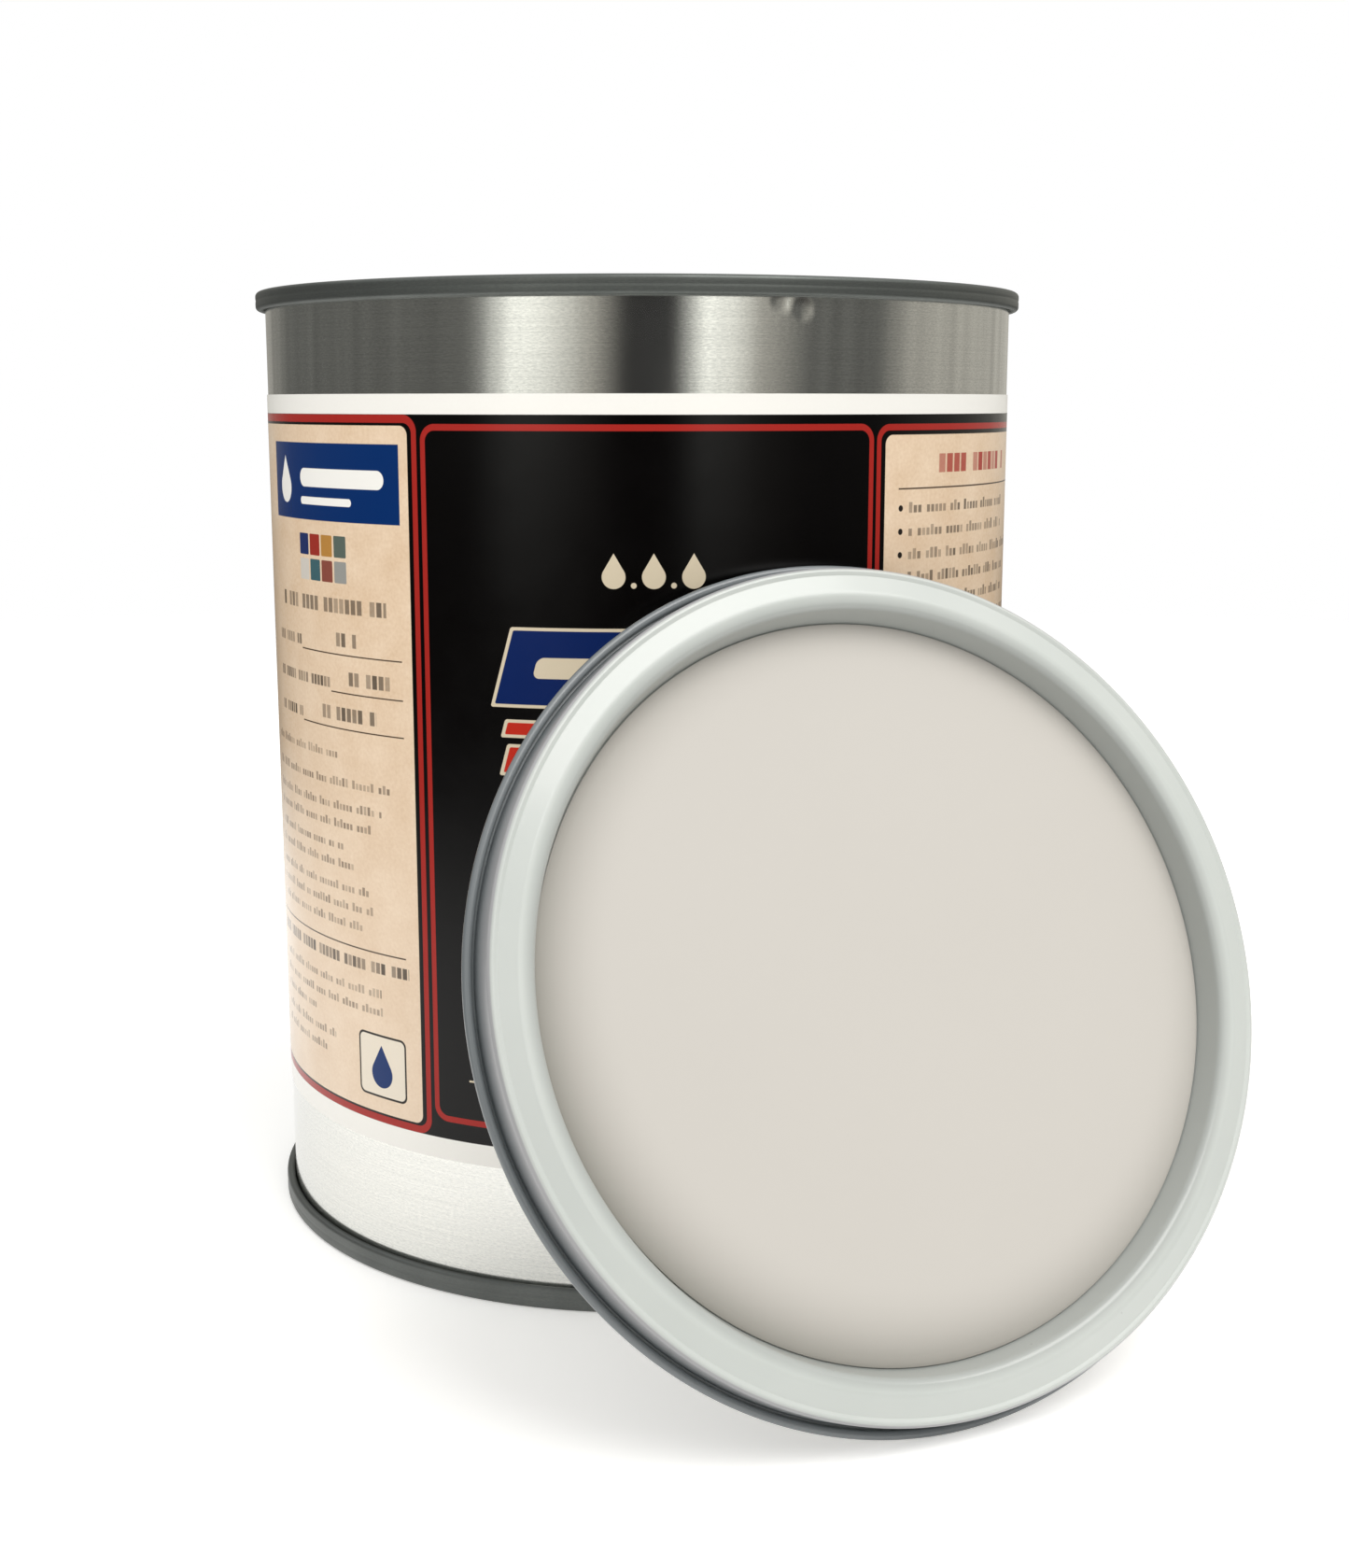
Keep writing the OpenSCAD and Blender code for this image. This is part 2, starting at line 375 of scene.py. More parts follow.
# Millimetres round the can from the front, to the right, and up from the floor
round_can, ins, outs = new_group("round_can", {"Vector": (0, 0, 0)}, {"Along": "Float", "Up": "Float"})
parts = add(round_can, "SeparateXYZ", {0: ins["Vector"]}).outputs
angle = calc(round_can, "ARCTAN2", parts["X"], calc(round_can, "MULTIPLY", parts["Y"], -1.0))
wrap_r = label_high.x / mm
round_can.links.new(calc(round_can, "MULTIPLY", angle, wrap_r), outs.inputs["Along"])
round_can.links.new(calc(round_can, "MULTIPLY", parts["Z"], 1000.0), outs.inputs["Up"])

# The mill's rolling marks: fine scratches along the sheet, and slow changes of tone
tree, ins, outs = new_group(
    "rolled_grain", {"Along": 0.0, "Across": 0.0}, {"Height": "Float", "Tone": "Float", "Cloud": "Float"}
)
rolled_grain = tree


def streaks(along, across, **noise):
    """Noise with its own number of grains to the millimetre along the sheet and across it."""
    place = add(tree, "CombineXYZ", {
        0: calc(tree, "MULTIPLY", ins["Along"], along), 1: calc(tree, "MULTIPLY", ins["Across"], across),
    })
    return add(tree, "TexNoise", {"Vector": place.outputs[0], "Scale": 1.0, **noise}).outputs[0]


fine = streaks(1.7, 5.5, Detail=3.0, Roughness=0.7)
long = streaks(0.05, 4.5, Detail=2.0)
cloud = streaks(0.12, 0.07, Detail=3.0)
grain = calc(tree, "MULTIPLY_ADD", long, 0.25, calc(tree, "MULTIPLY", fine, 0.75))
tree.links.new(grain, outs.inputs["Height"])
tree.links.new(calc(tree, "MULTIPLY_ADD", grain, 2.2, -0.6, clamp=True), outs.inputs["Tone"])
tree.links.new(cloud, outs.inputs["Cloud"])


def blend_range(tree, value, low, high, to_low, to_high):
    """Maps a value from one range to another, clamped; returns the output."""
    return add(tree, "MapRange", {0: value, 1: low, 2: high, 3: to_low, 4: to_high}).outputs[0]


body_bright, tree, out = new_material("bright_tinplate")
place = add(tree, "TexCoord").outputs["Object"]
wrap = place_group(tree, round_can, {"Vector": place})
grain = place_group(tree, rolled_grain, {"Along": wrap["Along"], "Across": wrap["Up"]})
tone = mix_colour(tree, grain["Tone"], (0.54, 0.55, 0.53, 1), (0.82, 0.82, 0.785, 1))
# The weld at the back: a dull line with a blued strip to each side of it
half_round = math.pi * wrap_r
from_weld = calc(tree, "SUBTRACT", half_round, calc(tree, "ABSOLUTE", wrap["Along"]))
blued = blend_range(tree, from_weld, 0.6, 4.5, 1.0, 0.0)
welded = blend_range(tree, from_weld, 0.45, 0.65, 1.0, 0.0)
tone = mix_colour(tree, calc(tree, "MULTIPLY", blued, 0.55), tone, (0.30, 0.33, 0.42, 1))
tone = mix_colour(tree, calc(tree, "MULTIPLY", welded, 0.8), tone, (0.16, 0.15, 0.15, 1))
rough = calc(tree, "MULTIPLY_ADD", grain["Cloud"], 0.06, 0.15)
rough = calc(tree, "MULTIPLY_ADD", grain["Tone"], -0.05, rough)
rough = calc(tree, "MULTIPLY_ADD", welded, 0.35, rough)
bump = add(tree, "Bump", {"Height": grain["Height"], "Strength": 0.25, "Distance": 0.012 * mm})
tangent = add(tree, "Tangent", direction_type="RADIAL", axis="Z")
tin = add(tree, "BsdfPrincipled", {
    "Base Color": tone, "Metallic": 1.0, "Roughness": rough, "Normal": bump.outputs[0],
    "Anisotropic": 0.6, "Anisotropic Rotation": 0.25, "Tangent": tangent.outputs[0],
})
tree.links.new(tin.outputs[0], out.inputs["Surface"])
tin_body.data.materials.append(body_bright)
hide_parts("body_shell")
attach(tin_body, "can")
can_pieces.objects.link(tin_body)


# Top ring: pressed from thicker, duller tinplate and double-seamed on the body. It holds
# the shelf for the lid's edge, the groove for its plug, and the rolled edge of the mouth.
shelf_z = can_h - 2.6
groove_z = shelf_z - 6
groove_out_r = 50.5
groove_in_r = 44
mouth_top_z = shelf_z - 1.8
mouth_r = 42
mouth_hem_h = 2.4
chuck_c = body_r - body_t - 0.03 - end_t / 2
end_hook_tip = flange_in + body_t / 2 + 0.25
hook_bend = (seam_wall_c - end_hook_c) / 2 - 0.02
seam_top_bend = 0.45
roller_mark = 0.05

tin_ring = draw_profile("tin_ring", [
    (end_hook_c, can_h - end_hook_tip, 0),
    (end_hook_c, can_h - top_seam_h + end_t / 2, hook_bend),
    (seam_wall_c, can_h - top_seam_h + end_t / 2, hook_bend),
    (seam_wall_c, can_h - 1.45, 0.4),
    (seam_wall_c - roller_mark, can_h - 1.15, 0.4),
    (seam_wall_c, can_h - 0.85, 0.4),
    (seam_wall_c, can_h - end_t / 2, seam_top_bend),
    (chuck_c, can_h - end_t / 2, 0.3),
    (chuck_c, shelf_z - end_t / 2, 0.5),
    (groove_out_r + end_t / 2, shelf_z - end_t / 2, 0.45),
    (groove_out_r + end_t / 2, groove_z - end_t / 2, 0.9),
    (groove_in_r - end_t / 2, groove_z - end_t / 2, 0.9),
    (groove_in_r - end_t / 2, mouth_top_z - end_t / 2, 0.8),
    (mouth_r + end_t / 2, mouth_top_z - end_t / 2, 0.8),
    (mouth_r + end_t / 2, mouth_top_z - mouth_hem_h, 0),
])
spin_round(tin_ring)
thicken(tin_ring, end_t)


dull_rough = 0.46
dull_metal = 0.75


def dull_tin(name, dark, light):
    """Thicker, dull tinplate; its rolling marks run straight across the pressed piece."""
    material, tree, out = new_material(name)
    whole = add(tree, "TexCoord").outputs["Object"]
    place = add(tree, "SeparateXYZ", {0: whole}).outputs
    wrap = place_group(tree, round_can, {"Vector": whole})
    flat = place_group(tree, rolled_grain, {
        "Along": calc(tree, "MULTIPLY", place["X"], 1000.0),
        "Across": calc(tree, "MULTIPLY", place["Y"], 1000.0),
    })
    drawn = place_group(tree, rolled_grain, {"Along": wrap["Along"], "Across": wrap["Up"]})
    # Flat panels keep the straight marks, and rolled walls are burnished round the can
    facing = add(tree, "SeparateXYZ", {0: add(tree, "NewGeometry").outputs["Normal"]}).outputs["Z"]
    level = blend_range(tree, calc(tree, "ABSOLUTE", facing), 0.5, 0.9, 0.0, 1.0)
    marks = add(tree, "Mix", {"Factor": level, 2: drawn["Height"], 3: flat["Height"]}).outputs[0]
    tone = add(tree, "Mix", {"Factor": level, 2: drawn["Tone"], 3: flat["Tone"]}).outputs[0]
    colour = mix_colour(tree, tone, dark, light)
    stain = blend_range(tree, drawn["Cloud"], 0.35, 0.7, 0.0, 0.35)
    colour = mix_colour(tree, stain, colour, tuple(0.8 * c for c in dark[:3]) + (1,))
    rough = calc(tree, "MULTIPLY_ADD", drawn["Cloud"], 0.18, dull_rough - 0.09)
    bump = add(tree, "Bump", {"Height": marks, "Strength": 0.25, "Distance": 0.02 * mm})
    tin = add(tree, "BsdfPrincipled", {
        "Base Color": colour, "Metallic": dull_metal, "Roughness": rough, "Normal": bump.outputs[0],
    })
    tree.links.new(tin.outputs[0], out.inputs["Surface"])
    return material


ring_tin = dull_tin("dull_ring_tinplate", (0.105, 0.115, 0.108, 1), (0.155, 0.165, 0.157, 1))
tin_ring.data.materials.append(ring_tin)
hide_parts("top_ring")
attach(tin_ring, "can")
can_pieces.objects.link(tin_ring)


# Bottom: one disc of the same dull tinplate, double-seamed on the body. The step pressed
# in its panel stiffens it, and the panel stays clear of whatever the can stands on.
bottom_c = 3.3 + end_t / 2
step_c = bottom_c + 0.8

tin_bottom = draw_profile("tin_bottom", [
    (end_hook_c, end_hook_tip, 0),
    (end_hook_c, bottom_seam_h - end_t / 2, hook_bend),
    (seam_wall_c, bottom_seam_h - end_t / 2, hook_bend),
    (seam_wall_c, 1.75, 0.4),
    (seam_wall_c - roller_mark, 1.45, 0.4),
    (seam_wall_c, 1.15, 0.4),
    (seam_wall_c, end_t / 2, seam_top_bend),
    (chuck_c, end_t / 2, 0.3),
    (chuck_c, bottom_c, 0.8),
    (46.5, bottom_c, 0.8),
    (45.3, step_c, 0.8),
    (35, step_c, 0.8),
    (33.8, bottom_c, 0.8),
    (20, bottom_c, 0),
    (0, bottom_c, 0),
])
spin_round(tin_bottom)
thicken(tin_bottom, end_t)
bottom_tin = dull_tin("dull_bottom_tinplate", (0.115, 0.124, 0.119, 1), (0.165, 0.174, 0.168, 1))
tin_bottom.data.materials.append(bottom_tin)
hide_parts("bottom_end")
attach(tin_bottom, "can")
can_pieces.objects.link(tin_bottom)


# Seam compound: a ring of rubbery lining poured into each end before it is seamed on. It
# is squeezed between the body's flange and the seam's outer wall, and stays hidden there.
lining, tree, out = new_material("seam_lining")
place = add(tree, "TexCoord").outputs["Object"]
cells = add(tree, "TexNoise", {"Vector": place, "Scale": 900.0, "Detail": 3.0}).outputs[0]
tone = mix_colour(tree, cells, (0.62, 0.57, 0.44, 1), (0.78, 0.73, 0.60, 1))
bump = add(tree, "Bump", {"Height": cells, "Strength": 0.4, "Distance": 0.05 * mm})
rubber = add(tree, "BsdfPrincipled", {
    "Base Color": tone, "Roughness": calc(tree, "MULTIPLY_ADD", cells, 0.2, 0.6), "Normal": bump.outputs[0],
})
tree.links.new(rubber.outputs[0], out.inputs["Surface"])
for name in ("top_seam_compound", "bottom_seam_compound"):
    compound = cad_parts[name]
    compound.data.materials.clear()
    compound.data.materials.append(lining)


# Label: one strip of coated paper, wound once round the body and pasted on, with its end
# lapped over its start at the back. The print has a black field with panels in red lines.
lap_run = math.radians(10)
end_gap = math.radians(-0.5)
ramp_steps = 4
ramp_step = math.radians(1)
paper_r = body_r + paper_gap + paper_t / 2
paper_top_r = paper_r + paper_t + 0.01
paper_low = label_low.z / mm
paper_high = label_high.z / mm
left_split = 72.2

bpy.ops.object.select_all(action="DESELECT")
label = draw_profile("wrap_label", [
    (paper_top_r, paper_low, 0), (paper_top_r, left_split, 0), (paper_top_r, paper_high, 0),
])
bpy.ops.mesh.select_all(action="SELECT")
bpy.ops.transform.translate(value=(-paper_top_r * mm, paper_top_r * mm, 0))
about_can = {"center": (0, 0, 0), "axis": (0, 0, 1), "use_auto_merge": False}
bpy.ops.mesh.spin(steps=10, angle=lap_run, **about_can)
turned = math.pi / 2 - lap_run
for step in range(ramp_steps):
    drop = [0.5 - 0.5 * math.cos(math.pi * k / ramp_steps) for k in (step, step + 1)]
    radii = [paper_top_r + (paper_r - paper_top_r) * d for d in drop]
    a = Vector((radii[0] * math.cos(turned), radii[0] * math.sin(turned), 0))
    turned -= ramp_step
    b = Vector((radii[1] * math.cos(turned), radii[1] * math.sin(turned), 0))
    bpy.ops.mesh.extrude_region_move(TRANSFORM_OT_translate={"value": tuple((b - a) * mm)})
rest_of_turn = 2 * math.pi - ramp_steps * ramp_step + end_gap
bpy.ops.mesh.spin(steps=356, angle=rest_of_turn, **about_can)
bpy.ops.mesh.select_all(action="SELECT")
bpy.ops.mesh.remove_doubles(threshold=0.001 * mm)
bpy.ops.mesh.normals_make_consistent(inside=False)
paper_slot = 1
thicken(label, paper_t, back_material=paper_slot)

# Print groups: each puts out a mask that is 1 where there is ink
ink_edge = 0.07
tree, ins, outs = new_group("printed_box", {
    "Along": 0.0, "Up": 0.0, "Left": 0.0, "Right": 1.0, "Low": 0.0, "High": 1.0, "Corner": 0.0,
}, {"Mask": "Float"})
printed_box = tree


def past_edge(axis, low, high):
    """How far a place lies outside a printed box along one axis, less its corner's radius."""
    centre = calc(tree, "MULTIPLY", calc(tree, "ADD", ins[low], ins[high]), 0.5)
    half = calc(tree, "MULTIPLY", calc(tree, "SUBTRACT", ins[high], ins[low]), 0.5)
    away = calc(tree, "ABSOLUTE", calc(tree, "SUBTRACT", ins[axis], centre))
    return calc(tree, "ADD", calc(tree, "SUBTRACT", away, half), ins["Corner"])


past_x = past_edge("Along", "Left", "Right")
past_y = past_edge("Up", "Low", "High")
square_x = calc(tree, "POWER", calc(tree, "MAXIMUM", past_x, 0.0), 2.0)
square_y = calc(tree, "POWER", calc(tree, "MAXIMUM", past_y, 0.0), 2.0)
outside = calc(tree, "SQRT", calc(tree, "ADD", square_x, square_y))
inside = calc(tree, "MINIMUM", calc(tree, "MAXIMUM", past_x, past_y), 0.0)
away = calc(tree, "SUBTRACT", calc(tree, "ADD", outside, inside), ins["Corner"])
mask = calc(tree, "MULTIPLY_ADD", away, -1.0 / ink_edge, 0.5, clamp=True)
tree.links.new(mask, outs.inputs["Mask"])

# Rows of small print: a small block stands for each letter, in word-long runs
tree, ins, outs = new_group("printed_rows", {
    "Along": 0.0, "Up": 0.0, "Left": 0.0, "Right": 10.0, "Top": 0.0, "Rows": 1.0, "Pitch": 2.4,
    "Letter": 1.1, "Ragged": 0.0, "Weight": 0.5, "Seed": 0.0, "Capitals": 0.0,
}, {"Mask": "Float"})
printed_rows = tree
block_pitch = 0.66
word_rate = 0.17
word_gap = 0.085
row_seed_step = 7.31
down = calc(tree, "SUBTRACT", ins["Top"], ins["Up"])
row = calc(tree, "FLOOR", calc(tree, "DIVIDE", down, ins["Pitch"]))
in_row = calc(tree, "SUBTRACT", down, calc(tree, "MULTIPLY", row, ins["Pitch"]))
started = calc(tree, "GREATER_THAN", down, 0.0)
unfinished = calc(tree, "LESS_THAN", row, calc(tree, "SUBTRACT", ins["Rows"], 0.5))
tall = blend_range(tree, calc(tree, "SUBTRACT", ins["Letter"], in_row), -0.06, 0.06, 0.0, 1.0)
row_seed = calc(tree, "MULTIPLY_ADD", row, row_seed_step, ins["Seed"])
chance = add(tree, "TexWhiteNoise", {"W": row_seed}, noise_dimensions="1D").outputs["Value"]
end = calc(tree, "SUBTRACT", ins["Right"], calc(tree, "MULTIPLY", chance, ins["Ragged"]))
from_left = calc(tree, "GREATER_THAN", ins["Along"], ins["Left"])
to_end = calc(tree, "LESS_THAN", ins["Along"], end)
block_width = calc(tree, "MULTIPLY", ins["Letter"], block_pitch)
blocks = calc(tree, "DIVIDE", calc(tree, "SUBTRACT", ins["Along"], ins["Left"]), block_width)
cell = calc(tree, "FLOOR", blocks)
in_cell = calc(tree, "SUBTRACT", blocks, cell)
word_place = calc(tree, "MULTIPLY_ADD", calc(tree, "ADD", cell, 0.5), word_rate, row_seed)
words = add(
    tree, "TexVoronoi", {"W": word_place, "Scale": 1.0, "Randomness": 0.9},
    voronoi_dimensions="1D", feature="DISTANCE_TO_EDGE",
).outputs["Distance"]
word = calc(tree, "GREATER_THAN", words, word_gap)
cell_place = add(tree, "CombineXYZ", {0: cell, 1: row_seed}).outputs[0]
throw = add(tree, "TexWhiteNoise", {"Vector": cell_place}, noise_dimensions="2D").outputs
# Most blocks in a row of small letters are short, and some blocks are printed paler
small = calc(tree, "MULTIPLY", calc(tree, "SUBTRACT", 1.0, ins["Capitals"]), 0.3)
short = calc(tree, "MULTIPLY", calc(tree, "GREATER_THAN", throw["Value"], 0.3), small)
low_block = calc(tree, "GREATER_THAN", calc(tree, "DIVIDE", in_row, ins["Letter"]), short)
half_block = calc(tree, "MULTIPLY_ADD", ins["Weight"], 0.26, 0.22)
from_middle = calc(tree, "ABSOLUTE", calc(tree, "SUBTRACT", in_cell, 0.5))
inside = calc(tree, "SUBTRACT", half_block, from_middle)
block = calc(tree, "MULTIPLY_ADD", inside, 9.0, 0.5, clamp=True)
second_throw = add(tree, "SeparateXYZ", {0: throw["Color"]}).outputs["Y"]
strength = calc(tree, "MULTIPLY_ADD", ins["Weight"], 1.1, -0.22)
strength = calc(tree, "MULTIPLY_ADD", second_throw, 0.4, strength, clamp=True)
mask = calc(tree, "MULTIPLY", calc(tree, "MULTIPLY", block, low_block), strength)
for part in (started, unfinished, tall, from_left, to_end, word):
    mask = calc(tree, "MULTIPLY", mask, part)
tree.links.new(mask, outs.inputs["Mask"])

# A drop of paint: a round foot under a straight-sided point
tree, ins, outs = new_group(
    "printed_drop", {"Along": 0.0, "Up": 0.0, "Centre": 0.0, "Foot": 0.0, "Size": 1.0}, {"Mask": "Float"}
)
printed_drop = tree
side = calc(tree, "DIVIDE", calc(tree, "SUBTRACT", ins["Along"], ins["Centre"]), ins["Size"])
side = calc(tree, "ABSOLUTE", side)
rise = calc(tree, "DIVIDE", calc(tree, "SUBTRACT", ins["Up"], ins["Foot"]), ins["Size"])
side_square = calc(tree, "POWER", side, 2.0)
reach = calc(tree, "SQRT", calc(tree, "ADD", side_square, calc(tree, "MULTIPLY", rise, rise)))
ball = calc(tree, "SUBTRACT", 1.0, reach)
slope = calc(tree, "SUBTRACT", 1.97, calc(tree, "ADD", calc(tree, "MULTIPLY", side, 1.7), rise))
cone = calc(tree, "MINIMUM", slope, calc(tree, "SUBTRACT", rise, 0.5))
sharp = calc(tree, "DIVIDE", ins["Size"], ink_edge)
mask = calc(tree, "MULTIPLY", calc(tree, "MAXIMUM", ball, cone), sharp)
tree.links.new(calc(tree, "ADD", mask, 0.5, clamp=True), outs.inputs["Mask"])

paper_white = (0.89, 0.875, 0.83, 1)
paper_grey = (0.80, 0.78, 0.72, 1)
field_black = (0.0015, 0.0012, 0.0012, 1)
line_red = (0.36, 0.020, 0.015, 1)
panel_cream = (0.83, 0.66, 0.49, 1)
panel_tan = (0.70, 0.51, 0.34, 1)
panel_pale = (0.86, 0.74, 0.62, 1)
block_blue = (0.001, 0.025, 0.13, 1)
mark_blue = (0.003, 0.016, 0.10, 1)
mark_red = (0.50, 0.025, 0.012, 1)
mark_cream = (0.66, 0.57, 0.42, 1)
mark_pale = (0.80, 0.72, 0.60, 1)
type_brown = (0.075, 0.05, 0.035, 1)
type_black = (0.018, 0.014, 0.012, 1)
head_red = (0.36, 0.025, 0.018, 1)


def box_mask(left, right, low, high, corner=0.0, shear=0.0):
    """A printed box between two places round the can and two heights, in millimetres."""
    across = along
    if shear:
        lean_over = calc(tree, "MULTIPLY_ADD", up, -shear, shear * (low + high) / 2)
        across = calc(tree, "ADD", along, lean_over)
    return place_group(tree, printed_box, {
        "Along": across, "Up": up, "Left": left, "Right": right, "Low": low, "High": high, "Corner": corner,
    })["Mask"]


def ink(mask, colour):
    """Prints one colour over what is there."""
    global print_colour
    print_colour = mix_colour(tree, mask, print_colour, colour)


def frame_line(left, right, low, high, corner, side, flat):
    """A red line round a panel, as the difference of two boxes."""
    outer = box_mask(left, right, low, high, corner)
    inner = box_mask(left + side, right - side, low + flat, high - flat, corner - side)
    ink(calc(tree, "SUBTRACT", outer, inner, clamp=True), line_red)


def type_rows(left, right, top, colour, letter, seed, rows=1, pitch=2.4, ragged=0.0, weight=0.5):
    """Rows of small print, in one block, with letters both tall and short."""
    ink(place_group(tree, printed_rows, {
        "Along": along, "Up": up, "Left": left, "Right": right, "Top": top, "Rows": float(rows),
        "Pitch": pitch, "Letter": letter, "Ragged": ragged, "Weight": weight, "Seed": seed,
    })["Mask"], colour)


def capital_row(left, right, top, colour, letter, seed, weight=0.6):
    """One row of print with all its letters tall."""
    ink(place_group(tree, printed_rows, {
        "Along": along, "Up": up, "Left": left, "Right": right, "Top": top, "Capitals": 1.0,
        "Letter": letter, "Weight": weight, "Seed": seed,
    })["Mask"], colour)


def drop_mask(centre, foot, size):
    """A drop with its round foot at a height."""
    return place_group(tree, printed_drop, {
        "Along": along, "Up": up, "Centre": centre, "Foot": foot, "Size": size,
    })["Mask"]


# What the whole label shares: paper, the black field, the red lines and the tan panels
field_low, field_high = 21.2, 114.6
left_panel = (-74.5, -28.9, field_low, field_high - 0.05)
middle_panel = (-28.3, 31.05, 23.6, 113.45)
right_panel = (31.55, 77.2, 23.6, 113.4)
back_text_panel = (77.75, 164.4, 23.6, 113.4)
back_mark_panel = (-164.4, -75.1, 23.6, 113.45)
label_ground, ins, outs = new_group(
    "label_ground", {"Along": 0.0, "Up": 0.0}, {"Colour": "Color", "Roughness": "Float", "Height": "Float"}
)
tree, along, up = label_ground, ins["Along"], ins["Up"]
flat_place = add(tree, "CombineXYZ", {0: along, 1: up}).outputs[0]
mottle = add(tree, "TexNoise", {
    "Vector": flat_place, "Scale": 0.16, "Detail": 6.0, "Roughness": 0.62,
}).outputs[0]
fibre = add(tree, "TexNoise", {"Vector": flat_place, "Scale": 2.1, "Detail": 2.0}).outputs[0]
print_colour = mix_colour(tree, calc(tree, "MULTIPLY", fibre, 0.25), paper_white, paper_grey)
ink(box_mask(-200, 200, field_low, field_high), field_black)
speckle = calc(tree, "MULTIPLY_ADD", fibre, 0.45, calc(tree, "MULTIPLY", mottle, 0.75), clamp=True)
speckle = blend_range(tree, speckle, 0.38, 0.8, 0.0, 1.0)
panel_colour = mix_colour(tree, speckle, panel_cream, panel_tan)
panel_colour = mix_colour(tree, blend_range(tree, up, 20, 90, 0.35, 0.0), panel_colour, panel_pale)
line_corner = 2.1
frame_line(*left_panel, line_corner, 0.78, 1.0)
for panel in (middle_panel, right_panel, back_text_panel, back_mark_panel):
    frame_line(*panel, line_corner, 0.72, 0.8)
for left, right, low, high in (left_panel, right_panel, back_text_panel):
    ink(box_mask(left + 1.45, right - 1.45, low + 1.3, high - 1.35, 1.2), panel_colour)
wave = add(tree, "TexNoise", {"Vector": flat_place, "Scale": 0.045, "Detail": 2.0}).outputs[0]
label_ground.links.new(print_colour, outs.inputs["Colour"])
label_ground.links.new(calc(tree, "MULTIPLY_ADD", mottle, 0.14, 0.12), outs.inputs["Roughness"])
label_ground.links.new(wave, outs.inputs["Height"])


def start_print(name):
    """Begins one panel's material with the shared ground; the inks that follow print over it."""
    global printed, tree, out, along, up, ground, print_colour
    printed, tree, out = new_material(name)
    wrap = place_group(tree, round_can, {"Vector": add(tree, "TexCoord").outputs["Object"]})
    along, up = wrap["Along"], wrap["Up"]
    ground = place_group(tree, label_ground, {"Along": along, "Up": up})
    print_colour = ground["Colour"]


def end_print(left, right, low=0.0, high=200.0):
    """Ends a panel's material, as coated paper, and gives it to that part of the label. The
    bare paper of the back and the edges comes after the first of them."""
    bump = add(tree, "Bump", {"Height": ground["Height"], "Strength": 0.08, "Distance": 0.8 * mm})
    coated = add(tree, "BsdfPrincipled", {
        "Base Color": print_colour, "Roughness": ground["Roughness"], "Specular IOR Level": 0.22,
        "Normal": bump.outputs[0],
    })
    tree.links.new(coated.outputs[0], out.inputs["Surface"])
    slot = len(label.data.materials)
    label.data.materials.append(printed)
    if slot < paper_slot:
        label.data.materials.append(plain_paper)
    for face in label.data.polygons:
        place = math.atan2(face.center.x, -face.center.y) * wrap_r
        height = face.center.z / mm
        if face.material_index != paper_slot and left <= place < right and low <= height < high:
            face.material_index = slot


plain_paper, tree, out = new_material("plain_paper")
place = add(tree, "TexCoord").outputs["Object"]
pulp = add(tree, "TexNoise", {"Vector": place, "Scale": 1500.0, "Detail": 3.0}).outputs[0]
bump = add(tree, "Bump", {"Height": pulp, "Strength": 0.3, "Distance": 0.02 * mm})
matt = add(tree, "BsdfPrincipled", {
    "Base Color": mix_colour(tree, pulp, paper_grey, paper_white), "Roughness": 0.8,
    "Normal": bump.outputs[0],
})
tree.links.new(matt.outputs[0], out.inputs["Surface"])

# Left panel: a plain blue block, a card of paint chips and three rows to fill in
start_print("print_left")
ink(box_mask(-63.6, -31.8, 100.9, 110.9), block_blue)
ink(drop_mask(-58.6, 105.0, 2.1), paper_white)
ink(box_mask(-53.2, -34.4, 105.2, 107.6, 1.2), paper_white)
ink(box_mask(-53.2, -40.6, 102.9, 103.9, 0.5), paper_white)
chips = (
    (0.015, 0.03, 0.12), (0.32, 0.03, 0.02), (0.45, 0.22, 0.05), (0.10, 0.13, 0.11),
    (0.62, 0.58, 0.52), (0.05, 0.12, 0.14), (0.24, 0.07, 0.05), (0.30, 0.30, 0.28),
)
for i, chip in enumerate(chips):
    chip_left = -54.0 + 3.1 * (i % 4)
    chip_low = 96.3 - 3.3 * (i // 4)
    ink(box_mask(chip_left, chip_left + 2.7, chip_low, chip_low + 2.8, 0.2), (*chip, 1))
capital_row(-61.5, -34.5, 91.0, type_black, letter=1.9, seed=3)
for top, name_end, value_left, value_right, rule_left in (
    (85.6, -54.4, -44.9, -40.4, -54.3),
    (80.6, -46.2, -42.3, -34.2, -46.3),
    (75.8, -55.0, -48.9, -36.8, -54.7),
):
    capital_row(-64.3, name_end, top - 0.1, type_black, letter=1.35, seed=top)
    capital_row(value_left, value_right, top + 0.95, type_black, letter=1.8, seed=top + 1)
    ink(box_mask(rule_left, -32.0, top - 2.0, top - 1.82), type_brown)
end_print(-74.8, -28.6)

